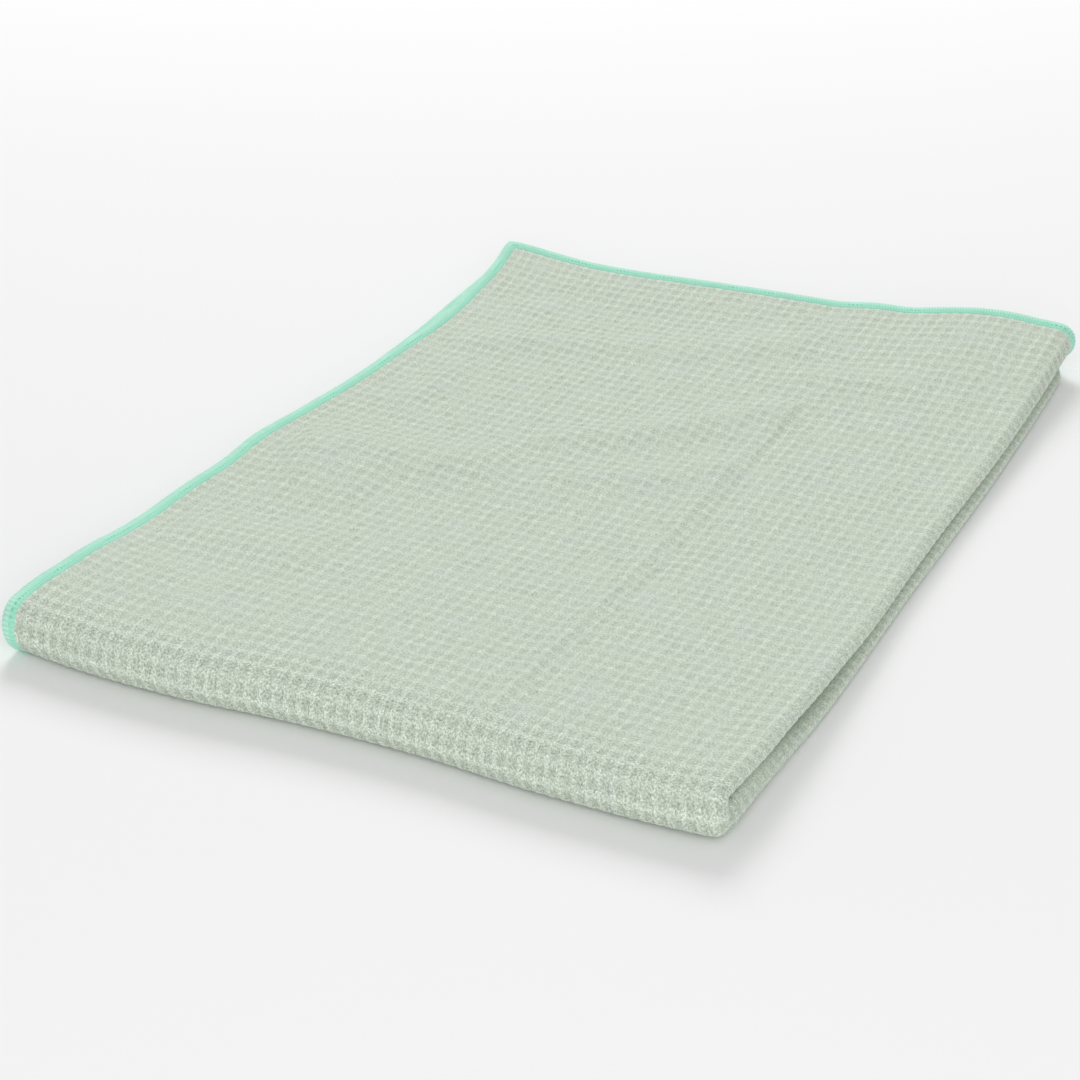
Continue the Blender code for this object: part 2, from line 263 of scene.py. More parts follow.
FOLD_STEP = 1.0 * MM
RIDGE_SAG = 0.22  # of a pit's depth, between two crossings
RIDGE_UNEVEN = 0.18  # and how much further down a ridge may lie by chance
SHALLOWEST, DEEPEST = 0.2, 1.3  # pits, as shares of the usual depth
CROSSING_PULL = 0.5  # in millimetres, about how far a crossing is pulled out of line
HEM_FLAT = 0.3  # how deep the cells are beside the overlock, as a share
HEM_REACH = 9 * MM  # and how far in from the edge they are drawn flatter
WEAVE_SEED, STITCH_SEED = 7, 11
HUE_STEP, TONE_STEP = 16, 9  # in millimetres, of the noise behind the cloth's clouds
# How strongly crossings take their painted highlight, and pits their painted shade: at least, more by
# chance, more where opened
HIGHLIGHT_LEAST, HIGHLIGHT_CHANCE = 0.05, 1.1
PIT_SHADE_LEAST, PIT_SHADE_CHANCE, PIT_SHADE_OPENED = 0.4, 0.5, 0.15
FLECK, FLECK_OPENED = 1.75, 1.3  # contrast of the drawn threads, and how much more where opened
THREAD_BUMP, PIT_BUMP = 0.5, -0.8  # shares of the bump's distance
WANDER_FREE = 22 * MM  # how far from an edge or a crease the threads wander freely

Wander = namedtuple("Wander", "every_s every_c size")  # a slow wave in the threads' lines
WANDERS = (
    Wander(every_s=61, every_c=47, size=0.35),
    Wander(every_s=33, every_c=19, size=0.20),
)

RIM_WIDTH = 3.9 * MM  # of the thinned edge that the overlock grips
RIM_THICKNESS = 0.7 * MM
RIM_SHOULDER = 0.5 * MM
SLOPE_FROM = 2.4  # in millimetres in from the edge, where the bead starts to slope to the cloth
NEEDLE_INSET = 3.15  # and where the row of needle stitches lies
LIP_FROM = 4.0  # and where the loops of the thread end raggedly
LIP_RAGGED = 0.22 * MM
STITCHES_PER_NEEDLE_STITCH = 1.5
SMALLEST_STITCH, LARGEST_STITCH = 0.6, 1.4  # as shares of the usual rise

RailPoint = namedtuple("RailPoint", "inset height puff up out")
# The overlock's section, from its upper lip round the nose to its lower lip and back inside, in
# millimetres: how far in from the cloth's edge, how far from its middle, how much further on top
# of layer 1, and the shares of a stitch's rise that it stands up and out by
BEAD = (
    RailPoint(inset=4.85, height=0.52, puff=0.00, up=0.0, out=0.0),
    RailPoint(inset=4.70, height=0.86, puff=0.04, up=0.3, out=0.0),
    RailPoint(inset=3.90, height=1.02, puff=0.18, up=0.7, out=0.0),
    RailPoint(inset=3.15, height=1.03, puff=0.38, up=0.3, out=0.0),
    RailPoint(inset=2.60, height=1.07, puff=0.55, up=0.9, out=0.0),
    RailPoint(inset=1.60, height=1.08, puff=0.62, up=1.0, out=0.0),
    RailPoint(inset=0.60, height=1.02, puff=0.52, up=1.0, out=0.2),
    RailPoint(inset=-0.20, height=0.74, puff=0.26, up=0.7, out=0.7),
    RailPoint(inset=-0.60, height=0.00, puff=0.00, up=0.0, out=1.0),
    RailPoint(inset=-0.20, height=-0.72, puff=0.00, up=0.7, out=0.7),
    RailPoint(inset=0.60, height=-1.00, puff=0.00, up=0.5, out=0.0),
    RailPoint(inset=2.40, height=-1.05, puff=0.00, up=0.3, out=0.0),
    RailPoint(inset=4.40, height=-0.98, puff=0.00, up=0.3, out=0.0),
    RailPoint(inset=4.45, height=-0.62, puff=0.00, up=0.0, out=0.0),
    RailPoint(inset=0.10, height=-0.42, puff=0.00, up=0.0, out=0.0),
    RailPoint(inset=0.10, height=0.42, puff=0.00, up=0.0, out=0.0),
)


def ease(t):
    """0 to 1 over t from 0 to 1, level at both ends."""
    t = np.clip(t, 0, 1)
    return t * t * (3 - 2 * t)


def fade(distance, reach):
    """1 up to a distance of 0, falling to 0 at the reach."""
    return 1 - ease(distance / reach)


def height_of(humps, x, y):
    """The height of these soft round humps at x, y."""
    height = 0
    for hump in humps:
        along_x = np.clip(np.abs(x / MM - hump.x) / hump.reach_x, 0, 1)
        along_y = np.clip(np.abs(y / MM - hump.y) / hump.reach_y, 0, 1)
        height = height + hump.height * (1 + np.cos(pi * along_x)) * (1 + np.cos(pi * along_y)) / 4
    return height * MM


def creased(x, y):
    """The height of the creases at x, y."""
    height = 0
    for crease in CREASES:
        run_x, run_y = crease.x1 - crease.x0, crease.y1 - crease.y0
        length = np.hypot(run_x, run_y)
        from_x, from_y = x / MM - crease.x0, y / MM - crease.y0
        along = (from_x * run_x + from_y * run_y) / length
        aside = (from_x * run_y - from_y * run_x) / length
        begun = ease((along + CREASE_END / 2) / CREASE_END)
        ends = begun * ease((length + CREASE_END / 2 - along) / CREASE_END)
        height = height + crease.height * np.exp(-((aside / crease.reach) ** 2)) * ends
    return height * MM


def stray(rows, at):
    """A smooth curve through the rows of a table of strays."""
    places = np.array([row.at for row in rows]) * MM
    values = np.array([row.by for row in rows]) * MM
    slopes = np.gradient(values, places)
    at = np.clip(at, places[0], places[-1])
    i = np.clip(np.searchsorted(places, at, side="right") - 1, 0, len(rows) - 2)
    step = places[i + 1] - places[i]
    t = (at - places[i]) / step
    level = values[i] + (values[i + 1] - values[i]) * ease(t)
    bend = (1 - t) ** 2 * t * step * slopes[i] - t**2 * (1 - t) * step * slopes[i + 1]
    return level + bend


def open_half(x, y, puffs):
    """Half the distance between the two layers of a pair."""
    return LAYER_SPACING / 2 + ROLL_OPENING * fade(ROLL_X - x, ROLL_OPENING_REACH) + height_of(puffs, x, y)


def between_pairs(x, y):
    """The distance from layer 2 to layer 3."""
    left = fade(x + SHEET_WIDTH / 4, LEFT_END_REACH)
    bulge = FRONT_BULGE + LEFT_END_BULGE * left
    holds_for = LEFT_END_HOLDS_FOR * left
    closes_over = FRONT_CLOSES_OVER + (LEFT_END_CLOSES_OVER - FRONT_CLOSES_OVER) * left
    return LAYER_SPACING + bulge * fade(y - FRONT_Y - holds_for, closes_over) + height_of(LIFTS, x, y)


def rounded(s, c):
    """The same place on a sheet whose corners are a little rounded."""
    near_s = np.abs(s) - SHEET_WIDTH / 2 + CORNER_ROUNDING
    near_c = np.abs(c) - SHEET_LENGTH / 2 + CORNER_ROUNDING
    in_corner = (near_s > 0) & (near_c > 0)
    far = np.where(in_corner, np.hypot(near_s, near_c), 1)
    share = np.where(in_corner, CORNER_DRAWN_IN * (1 - np.maximum(near_s, near_c) / far), 0)
    return s - np.sign(s) * share * near_s, c - np.sign(c) * share * near_c


def turned(s, c):
    """How the sheet turns at the lengths s across and c along.

    Gives its turn round the front fold, where it would lie along Y if that fold were flat, its
    share of the way up the fold, the radius of the right roll, and its turn round that roll.
    """
    turn_front = np.clip(-c / FRONT_RADIUS, -pi / 2, pi / 2)
    y_flat = FRONT_Y + np.maximum(np.abs(c) - FRONT_RADIUS * pi / 2, 0)
    upper = (1 + np.sin(turn_front)) / 2  # 1 on the upper pair, 0 on the lower one
    # The further a pair of layers stands open, the rounder its roll.
    lower_half, upper_half = open_half(ROLL_X, y_flat, LOWER_PUFFS), open_half(ROLL_X, y_flat, PUFFS)
    at_roll = lower_half + upper * (upper_half - lower_half)
    radius = ROLL_RADIUS * at_roll / open_half(ROLL_X, y_flat, ())
    turn_right = np.clip(s / radius, -pi / 2, pi / 2)
    return turn_front, y_flat, upper, radius, turn_right


def folded(s, c):
    """Where the middle of the sheet lies, in its folds, at the lengths s across and c along."""
    s, c = rounded(*np.broadcast_arrays(s, c))
    # Each layer is flat up to a crease, then turns a quarter circle to reach it.
    turn_front, y_flat, upper, radius, turn_right = turned(s, c)
    x_flat = ROLL_X + ROLL_RADIUS - radius - np.maximum(np.abs(s) - radius * pi / 2, 0)
    outer = -np.sin(turn_right)  # 1 on an outer layer, -1 on an inner one

    half_lower = open_half(x_flat, y_flat, LOWER_PUFFS)
    half_upper = open_half(x_flat, y_flat, PUFFS)
    z_lower = CLOTH_THICKNESS / 2 + half_lower
    z_upper = CLOTH_THICKNESS / 2 + 2 * half_lower + between_pairs(x_flat, y_flat) + half_upper
    half = half_lower + (half_upper - half_lower) * upper

    x = x_flat + radius * np.cos(turn_right)
    y = y_flat - (FRONT_RADIUS + outer * half) * np.cos(turn_front)
    z = (z_upper + z_lower) / 2 + ((z_upper - z_lower) / 2 + outer * half) * np.sin(turn_front)

    # The creases are in layer 1, and die away where it turns.
    z = z + creased(x, y) * upper * (1 + outer) / 2

    # The folded and cut edges stray from straight.
    near_right = ease((x - RIGHT_STRAYS_FROM) / RIGHT_STRAYS_OVER)
    near_left = ease((LEFT_STRAYS_FROM - x) / LEFT_STRAYS_OVER)
    near_back = ease((y - BACK_STRAYS_FROM) / BACK_STRAYS_OVER)
    near_front = fade(y - FRONT_STRAYS_FULL_TO, FRONT_STRAYS_LOST_OVER)
    tucked = TUCK * ease((y - TUCK_FROM_Y) / TUCK_LENGTH) * (1 - upper)
    left_share = LOWER_PAIR_SHARE + (1 - LOWER_PAIR_SHARE) * upper
    set_back = stray(SETBACKS, y) * ease((upper - SETBACK_LOST_AT) / (1 - SETBACK_LOST_AT))
    x = x + (stray(RIGHT_STRAYS, y) - set_back - tucked) * near_right
    x = x + stray(LEFT_STRAYS, y) * left_share * near_left
    y = y + (stray(BACK_STRAYS, x) + LOWER_SET_OUT * (1 - upper)) * near_back
    y = y - stray(FRONT_STRAYS, x) * near_front

    # The overlock is thicker than the cloth, and lifts the edge that lies on the ground.
    z = z + OVERLOCK_LIFT * fade(to_edge(s, c) - CAD_RIM_WIDTH, OVERLOCK_LIFT_REACH - CAD_RIM_WIDTH)
    return np.stack([x, y, z], axis=-1)


def to_edge(s, c):
    """How far a place on the sheet is from its cut edge."""
    return np.minimum(SHEET_WIDTH / 2 - np.abs(s), SHEET_LENGTH / 2 - np.abs(c))


def facing(s, c):
    """The unit normal of the folded sheet, down on layers 1 and 3 and up on layers 2 and 4."""
    step = 0.05 * MM
    across = folded(s + step, c) - folded(s - step, c)
    along = folded(s, c + step) - folded(s, c - step)
    normal = np.cross(across, along)
    return normal / np.linalg.norm(normal, axis=-1, keepdims=True)


def on_top(s, c):
    """1 on layer 1, fading to 0 round its two folds."""
    turn_front, _, upper, _, turn_right = turned(s, c)
    return upper * (1 - np.sin(turn_right)) / 2


# ---------------------------------------------------------------------------------------------
# Materials
# ---------------------------------------------------------------------------------------------


def linear(hex_colour):
    """A colour of six sRGB hex digits as linear red, green, blue and alpha."""
    values = [int(hex_colour[i : i + 2], 16) / 255 for i in (0, 2, 4)]
    return (*[v / 12.92 if v <= 0.04045 else ((v + 0.055) / 1.055) ** 2.4 for v in values], 1.0)


def add_node(tree, kind, inputs=None, **settings):
    """Adds a node with these settings, and sets or links its inputs by name or place."""
    node = tree.nodes.new(kind)
    for name, value in settings.items():
        setattr(node, name, value)
    for name, value in (inputs or {}).items():
        if isinstance(value, bpy.types.NodeSocket):
            tree.links.new(value, node.inputs[name])
        else:
            node.inputs[name].default_value = value
    return node


def new_material(name):
    """An empty material, its nodes and its Principled shader."""
    material = bpy.data.materials.new(name)
    material.use_nodes = True
    return material, material.node_tree, material.node_tree.nodes["Principled BSDF"]


def waffle_cloth(look):
    """Split microfibre, woven in waffle cells and washed.

    It is matt, with a very faint sheen. Its raised threads are pale, with a painted highlight where two
    ridges cross, and the pits between them are darker with painted shade. Washing leaves faint warm and
    cool clouds.
    """
    material, tree, shader = new_material("Grey-green waffle-woven microfibre")
    weave = add_node(tree, "ShaderNodeUVMap", uv_map="Weave").outputs["UV"]
    axes = add_node(tree, "ShaderNodeSeparateXYZ", {"Vector": weave}).outputs
    flat_size = (CELL_ACROSS / MM, CELL_ALONG / MM, 1)
    flat = add_node(tree, "ShaderNodeVectorMath", {0: weave, 1: flat_size}, operation="MULTIPLY")
    in_mm = flat.outputs["Vector"]

    # Single threads are 0.3 mm apart, too fine to show: they are drawn in small clumps.
    threads = add_node(
        tree,
        "ShaderNodeTexNoise",
        {"Vector": in_mm, "Scale": 1 / (look.thread_spacing / MM), "Detail": 3.0, "Roughness": 0.85},
    ).outputs["Fac"]

    # 0 to 0.5 from the middle of a ridge to the middle of a pit, in cells, frayed by the threads
    fray = add_node(tree, "ShaderNodeMath", {0: threads, 1: FRAY, 2: -FRAY / 2}, operation="MULTIPLY_ADD")
    walls = []
    for axis in (axes["X"], axes["Y"]):
        frayed = add_node(tree, "ShaderNodeMath", {0: axis, 1: fray.outputs[0]}, operation="ADD")
        away = add_node(tree, "ShaderNodeMath", {0: frayed.outputs[0], 1: 0.5}, operation="PINGPONG")
        wall = add_node(
            tree,
            "ShaderNodeMapRange",
            {"Value": away.outputs[0], "From Min": WALL_FROM, "From Max": WALL_TO},
            interpolation_type="SMOOTHSTEP",
        )
        walls.append(wall.outputs["Result"])
    pit = add_node(tree, "ShaderNodeMath", {0: walls[0], 1: walls[1]}, operation="MULTIPLY").outputs[0]
    off_crossing = add_node(
        tree, "ShaderNodeMath", {0: walls[0], 1: walls[1]}, operation="MAXIMUM"
    ).outputs[0]

    # Round the folds the weave is drawn open: its threads stand apart, and its pits take more painted
    # shade.
    from_folds = [
        add_node(tree, "ShaderNodeMath", {0: axes[axis], 1: 0.0}, operation="ABSOLUTE").outputs[0]
        for axis in ("X", "Y")
    ]
    # The right rolls are tighter, and draw open fewer cells.
    from_roll = add_node(
        tree, "ShaderNodeMath", {0: from_folds[0], 1: ROLL_OPENS_LESS}, operation="ADD"
    ).outputs[0]
    nearest_fold = add_node(tree, "ShaderNodeMath", {0: from_roll, 1: from_folds[1]}, operation="MINIMUM")
    opened = add_node(
        tree,
        "ShaderNodeMapRange",
        {"Value": nearest_fold.outputs[0], "From Min": OPENED_TO, "From Max": OPENED_FOR},
        interpolation_type="SMOOTHSTEP",
    ).outputs["Result"]

    # No two crossings take the same painted highlight, nor the quarters of the pits beside them the same
    # painted shade.
    nearest = add_node(tree, "ShaderNodeVectorMath", {0: weave, 1: (0.5, 0.5, 0.5)}, operation="ADD")
    cell = add_node(tree, "ShaderNodeVectorMath", {0: nearest.outputs["Vector"]}, operation="FLOOR")
    chance = add_node(
        tree, "ShaderNodeTexWhiteNoise", {"Vector": cell.outputs["Vector"]}, noise_dimensions="2D"
    ).outputs["Value"]

    # Clouds that are warmer or cooler, and others that are paler or deeper
    hue = add_node(tree, "ShaderNodeTexNoise", {"Vector": in_mm, "Scale": 1 / HUE_STEP, "Detail": 2.0})
    hue_share = add_node(
        tree, "ShaderNodeMapRange", {"Value": hue.outputs["Fac"], "From Min": 0.35, "From Max": 0.65}
    )
    cloud = add_node(tree, "ShaderNodeTexNoise", {"Vector": in_mm, "Scale": 1 / TONE_STEP, "Detail": 2.0})

    ridge = add_node(
        tree,
        "ShaderNodeMix",
        {0: hue_share.outputs["Result"], 6: look.cloth_warm, 7: look.cloth_cool},
        data_type="RGBA",
    ).outputs[2]
    # A painted highlight where two ridges cross, stronger at some crossings than at others
    near = add_node(tree, "ShaderNodeMath", {0: 1.0, 1: off_crossing}, operation="SUBTRACT").outputs[0]
    highlight_strength = add_node(
        tree, "ShaderNodeMath", {0: chance, 1: HIGHLIGHT_CHANCE, 2: HIGHLIGHT_LEAST}, operation="MULTIPLY_ADD"
    ).outputs[0]
    lit = add_node(tree, "ShaderNodeMath", {0: near, 1: highlight_strength}, operation="MULTIPLY").outputs[0]
    crossing = add_node(
        tree, "ShaderNodeMix", {0: lit, 6: ridge, 7: look.cloth_crossing_highlight}, data_type="RGBA"
    ).outputs[2]
    # A painted shade in the pits, uneven by chance and deeper round the folds
    uneven_pit_shade = add_node(
        tree, "ShaderNodeMath", {0: chance, 1: PIT_SHADE_CHANCE, 2: PIT_SHADE_LEAST}, operation="MULTIPLY_ADD"
    ).outputs[0]
    open_pit_shade = add_node(
        tree, "ShaderNodeMath", {0: opened, 1: PIT_SHADE_OPENED, 2: uneven_pit_shade}, operation="MULTIPLY_ADD"
    )
    pit_shade_share = add_node(tree, "ShaderNodeMath", {0: pit, 1: open_pit_shade.outputs[0]}, operation="MULTIPLY")
    celled = add_node(
        tree,
        "ShaderNodeMix",
        {0: pit_shade_share.outputs[0], 6: crossing, 7: look.cloth_pit_shade},
        data_type="RGBA",
    ).outputs[2]

    # Clumps of threads catch the light unevenly, and the clouds are a little paler or deeper.
    contrast = add_node(
        tree, "ShaderNodeMath", {0: opened, 1: FLECK_OPENED, 2: FLECK}, operation="MULTIPLY_ADD"
    )
    about_mean = add_node(tree, "ShaderNodeMath", {0: threads, 1: -0.5}, operation="ADD")
    fleck = add_node(
        tree,
        "ShaderNodeMath",
        {0: about_mean.outputs[0], 1: contrast.outputs[0], 2: 1.0},
        operation="MULTIPLY_ADD",
    ).outputs[0]
    paler = add_node(
        tree,
        "ShaderNodeMapRange",
        {"Value": cloud.outputs["Fac"], "From Min": 0.3, "From Max": 0.7, "To Min": 0.985, "To Max": 1.015},
    ).outputs["Result"]
    # More painted shade on the pit floors where the weave is drawn open
    open_floor = add_node(tree, "ShaderNodeMath", {0: pit, 1: opened}, operation="MULTIPLY").outputs[0]
    shade = add_node(
        tree, "ShaderNodeMapRange", {"Value": open_floor, "To Min": 1.0, "To Max": 0.94}
    ).outputs["Result"]
    tone = add_node(tree, "ShaderNodeMath", {0: fleck, 1: paler}, operation="MULTIPLY").outputs[0]
    tone = add_node(tree, "ShaderNodeMath", {0: tone, 1: shade}, operation="MULTIPLY").outputs[0]
    colour = add_node(
        tree, "ShaderNodeMix", {0: 1.0, 6: celled, 7: tone}, data_type="RGBA", blend_type="MULTIPLY"
    ).outputs[2]
    tree.links.new(colour, shader.inputs["Base Color"])

    floor_height = add_node(
        tree, "ShaderNodeMath", {0: pit, 1: PIT_BUMP}, operation="MULTIPLY"
    ).outputs[0]
    surface = add_node(
        tree, "ShaderNodeMath", {0: threads, 1: THREAD_BUMP, 2: floor_height}, operation="MULTIPLY_ADD"
    ).outputs[0]
    bump = add_node(tree, "ShaderNodeBump", {"Height": surface, "Strength": 0.6, "Distance": 0.4 * MM})
    tree.links.new(bump.outputs["Normal"], shader.inputs["Normal"])
    shader.inputs["Roughness"].default_value = 0.92
    shader.inputs["IOR"].default_value = 1.45
    shader.inputs["Specular IOR Level"].default_value = 0.15
    shader.inputs["Sheen Weight"].default_value = 0.08
    shader.inputs["Sheen Roughness"].default_value = 0.5
    return material


def overlock_thread(look):
    """Textured polyester thread, overlocked in close stitches.

    It is soft and matt: pale where it lies over the edge, darker with painted shade on the slope down
    to the cloth, with a painted shade between stitches and a row of dark points of painted shade where the
    needle thread pulls in.
    """
    material, tree, shader = new_material("Mint textured overlock thread")
    stitches = add_node(tree, "ShaderNodeUVMap", uv_map="Stitches").outputs["UV"]
    axes = add_node(tree, "ShaderNodeSeparateXYZ", {"Vector": stitches}).outputs
    in_mm = add_node(
        tree, "ShaderNodeVectorMath", {0: stitches, 1: (look.stitch_pitch / MM, 1, 1)}, operation="MULTIPLY"
    ).outputs["Vector"]

    # The thread's strands are 0.1 mm thick, too fine to show: they are drawn in threes.
    strands = add_node(
        tree, "ShaderNodeTexNoise", {"Vector": in_mm, "Scale": 1 / 0.35, "Detail": 2.0, "Roughness": 0.6}
    ).outputs["Fac"]
    cloud = add_node(tree, "ShaderNodeTexNoise", {"Vector": in_mm, "Scale": 1 / 12, "Detail": 1.0})

    # A painted shade on the slope down to the cloth
    slope = add_node(
        tree,
        "ShaderNodeMapRange",
        {"Value": axes["Y"], "From Min": SLOPE_FROM, "From Max": NEEDLE_INSET},
        interpolation_type="SMOOTHSTEP",
    ).outputs["Result"]
    slope_shaded = add_node(
        tree, "ShaderNodeMix", {0: slope, 6: look.thread, 7: look.thread_slope_shade}, data_type="RGBA"
    ).outputs[2]

    from_crown = add_node(tree, "ShaderNodeMath", {0: axes["X"], 1: 0.5}, operation="PINGPONG").outputs[0]
    between = add_node(
        tree,
        "ShaderNodeMapRange",
        {"Value": from_crown, "From Min": 0.2, "From Max": 0.5, "To Max": 0.7},
        interpolation_type="SMOOTHSTEP",
    ).outputs["Result"]
    ribbed = add_node(
        tree, "ShaderNodeMix", {0: between, 6: slope_shaded, 7: look.thread_shade}, data_type="RGBA"
    ).outputs[2]

    # The needle's points, darkened with painted shade: near its line across the bead, and near its
    # stitches along it
    from_line = add_node(tree, "ShaderNodeMath", {0: axes["Y"], 1: NEEDLE_INSET}, operation="SUBTRACT")
    off_line = add_node(tree, "ShaderNodeMath", {0: from_line.outputs[0]}, operation="ABSOLUTE")
    on_line = add_node(
        tree,
        "ShaderNodeMapRange",
        {"Value": off_line.outputs[0], "From Min": 0.55, "From Max": 0.15},
        interpolation_type="SMOOTHSTEP",
    ).outputs["Result"]
    needle_stitch = add_node(
        tree, "ShaderNodeMath", {0: axes["X"], 1: 1 / STITCHES_PER_NEEDLE_STITCH}, operation="MULTIPLY"
    )
    off_point = add_node(
        tree, "ShaderNodeMath", {0: needle_stitch.outputs[0], 1: 0.5}, operation="PINGPONG"
    )
    on_point = add_node(
        tree,
        "ShaderNodeMapRange",
        {"Value": off_point.outputs[0], "From Min": 0.35, "From Max": 0.1},
        interpolation_type="SMOOTHSTEP",
    ).outputs["Result"]
    showing = add_node(
        tree,
        "ShaderNodeMapRange",
        {"Value": cloud.outputs["Fac"], "From Min": 0.46, "From Max": 0.66},
        interpolation_type="SMOOTHSTEP",
    ).outputs["Result"]
    on_stitch = add_node(tree, "ShaderNodeMath", {0: on_line, 1: on_point}, operation="MULTIPLY").outputs[0]
    point = add_node(tree, "ShaderNodeMath", {0: on_stitch, 1: showing}, operation="MULTIPLY").outputs[0]
    needle_point_shaded = add_node(
        tree, "ShaderNodeMix", {0: point, 6: ribbed, 7: look.thread_point_shade}, data_type="RGBA"
    ).outputs[2]

    fleck = add_node(
        tree,
        "ShaderNodeMapRange",
        {"Value": strands, "From Min": 0.3, "From Max": 0.7, "To Min": 0.9, "To Max": 1.08},
    ).outputs["Result"]
    paler = add_node(
        tree,
        "ShaderNodeMapRange",
        {"Value": cloud.outputs["Fac"], "From Min": 0.3, "From Max": 0.7, "To Min": 0.96, "To Max": 1.04},
    ).outputs["Result"]
    tone = add_node(tree, "ShaderNodeMath", {0: fleck, 1: paler}, operation="MULTIPLY").outputs[0]
    colour = add_node(
        tree, "ShaderNodeMix", {0: 1.0, 6: needle_point_shaded, 7: tone}, data_type="RGBA", blend_type="MULTIPLY"
    ).outputs[2]
    tree.links.new(colour, shader.inputs["Base Color"])

    sunk = add_node(tree, "ShaderNodeMath", {0: point, 1: -1.2, 2: strands}, operation="MULTIPLY_ADD")
    bump = add_node(
        tree, "ShaderNodeBump", {"Height": sunk.outputs[0], "Strength": 0.5, "Distance": 0.2 * MM}
    )
    tree.links.new(bump.outputs["Normal"], shader.inputs["Normal"])
    shader.inputs["Roughness"].default_value = 0.75
    shader.inputs["IOR"].default_value = 1.5
    shader.inputs["Specular IOR Level"].default_value = 0.25
    shader.inputs["Sheen Weight"].default_value = 0.1
    return material


def backdrop():
    """Matt white paper, which holds a soft shadow."""
    material, _, shader = new_material("White backdrop paper")
    shader.inputs["Base Color"].default_value = linear("F4F4F4")
    shader.inputs["Roughness"].default_value = 1.0
    shader.inputs["Specular IOR Level"].default_value = 0.0
    return material


# ---------------------------------------------------------------------------------------------
# Pieces
# ---------------------------------------------------------------------------------------------


def nothing_selected():
    """Deselects all, because a command acts on all that is selected."""
    bpy.ops.object.select_all(action="DESELECT")


def mesh_object(name, points, faces, uv_name, uv_of_point, material):
    """Adds a smooth-shaded object of these points and faces, with a UV for each point."""
    points[:, 2] = np.maximum(points[:, 2], CAD_LOW.z)  # flat where it lies on the ground
    mesh = bpy.data.meshes.new(name)
    mesh.from_pydata(points.tolist(), [], faces)
    uv_layer = mesh.uv_layers.new(name=uv_name)
    corners = np.empty(len(mesh.loops), dtype=np.int32)
    mesh.loops.foreach_get("vertex_index", corners)
    uv_layer.uv.foreach_set("vector", uv_of_point[corners].astype(np.float32).ravel())
    mesh.materials.append(material)
    mesh.shade_smooth()
    piece = bpy.data.objects.new(name, mesh)
    bpy.context.scene.collection.objects.link(piece)
    nothing_selected()
    piece.select_set(True)
    bpy.context.view_layer.objects.active = piece
    return piece


def face_outwards(piece):
    """Turns the faces of a closed piece outwards."""
    bpy.context.view_layer.objects.active = piece
    bpy.ops.object.mode_set(mode="EDIT")
    bpy.ops.mesh.select_all(action="SELECT")
    bpy.ops.mesh.normals_make_consistent(inside=False)
    bpy.ops.object.mode_set(mode="OBJECT")


def quads(number):
    """The faces between the points of a grid."""
    corners = (number[:-1, :-1], number[1:, :-1], number[1:, 1:], number[:-1, 1:])
    return np.stack(corners, axis=-1).reshape(-1, 4).tolist()


def stations(cells, cell, fine_to):
    """Lengths from one edge of the sheet to the other, in one direction.

    There are four to a cell up to fine_to, on the two sides of its ridge and the two sides of its
    pit, and beyond that a few cells to a step, with two more at each edge for the thinned rim.
    """
    edge = cells * cell / 2
    body = edge - RIM_WIDTH - RIM_SHOULDER
    offsets = np.array([-RIDGE_HALF_WIDTH, RIDGE_HALF_WIDTH, PIT_FROM, 1 - PIT_FROM])
    ridges = np.arange(-cells // 2, int(np.ceil(fine_to / cell)))
    fine = ((ridges[:, None] + offsets) * cell).ravel()
    fine = fine[(fine > -body + CLOSEST_STATIONS) & (fine < fine_to - CLOSEST_STATIONS)]
    count = round((body - fine_to) / cell / CELLS_PER_COARSE_FACET)
    coarse = np.linspace(fine_to, body, count + 1)
    rim = edge - RIM_WIDTH
    return np.concatenate([[-edge, -rim, -body], fine, coarse, [rim, edge]])


def coarse_part_of(lengths, cell, fold_at):
    """Which stations the inner face uses: its rim, its fold, and one in every few on the flat."""
    edge = lengths[-1]
    keep = [0]
    for i, at in enumerate(lengths[1:-1], start=1):
        on_rim = edge - abs(at) < RIM_WIDTH + 1.5 * RIM_SHOULDER
        in_fold = abs(at) < fold_at
        step = FOLD_STEP if in_fold else cell * CELLS_PER_COARSE_FACET
        if on_rim or at - lengths[keep[-1]] > step - CLOSEST_STATIONS / 10:
            keep.append(i)
    return np.array(keep + [len(lengths) - 1])


def wandered(s, c, random):
    """The sheet's threads a little out of line, as woven and handled cloth has them."""
    column, row = s / CELL_ACROSS + CELLS_ACROSS // 2, c / CELL_ALONG + CELLS_ALONG // 2
    this = (np.floor(column).astype(int), np.floor(row).astype(int))
    share_s, share_c = column - this[0], row - this[1]
    pulls = random.normal(0, CROSSING_PULL, (2, CELLS_ACROSS + 2, CELLS_ALONG + 2))
    near = pulls[:, this[0], this[1]] * (1 - share_c) + pulls[:, this[0], this[1] + 1] * share_c
    far = pulls[:, this[0] + 1, this[1]] * (1 - share_c) + pulls[:, this[0] + 1, this[1] + 1] * share_c
    across, along = near * (1 - share_s) + far * share_s
    for wave in WANDERS:
        slow_s, slow_c = s / MM / wave.every_s, c / MM / wave.every_c
        across = across + wave.size * np.sin(slow_c + 2 * np.sin(slow_s))
        along = along + wave.size * np.sin(slow_s + 2 * np.sin(slow_c + 1))
    held = ease(to_edge(s, c) / WANDER_FREE) * ease(np.abs(s) / WANDER_FREE) * ease(np.abs(c) / WANDER_FREE)
    return s + across * held * MM, c + along * held * MM


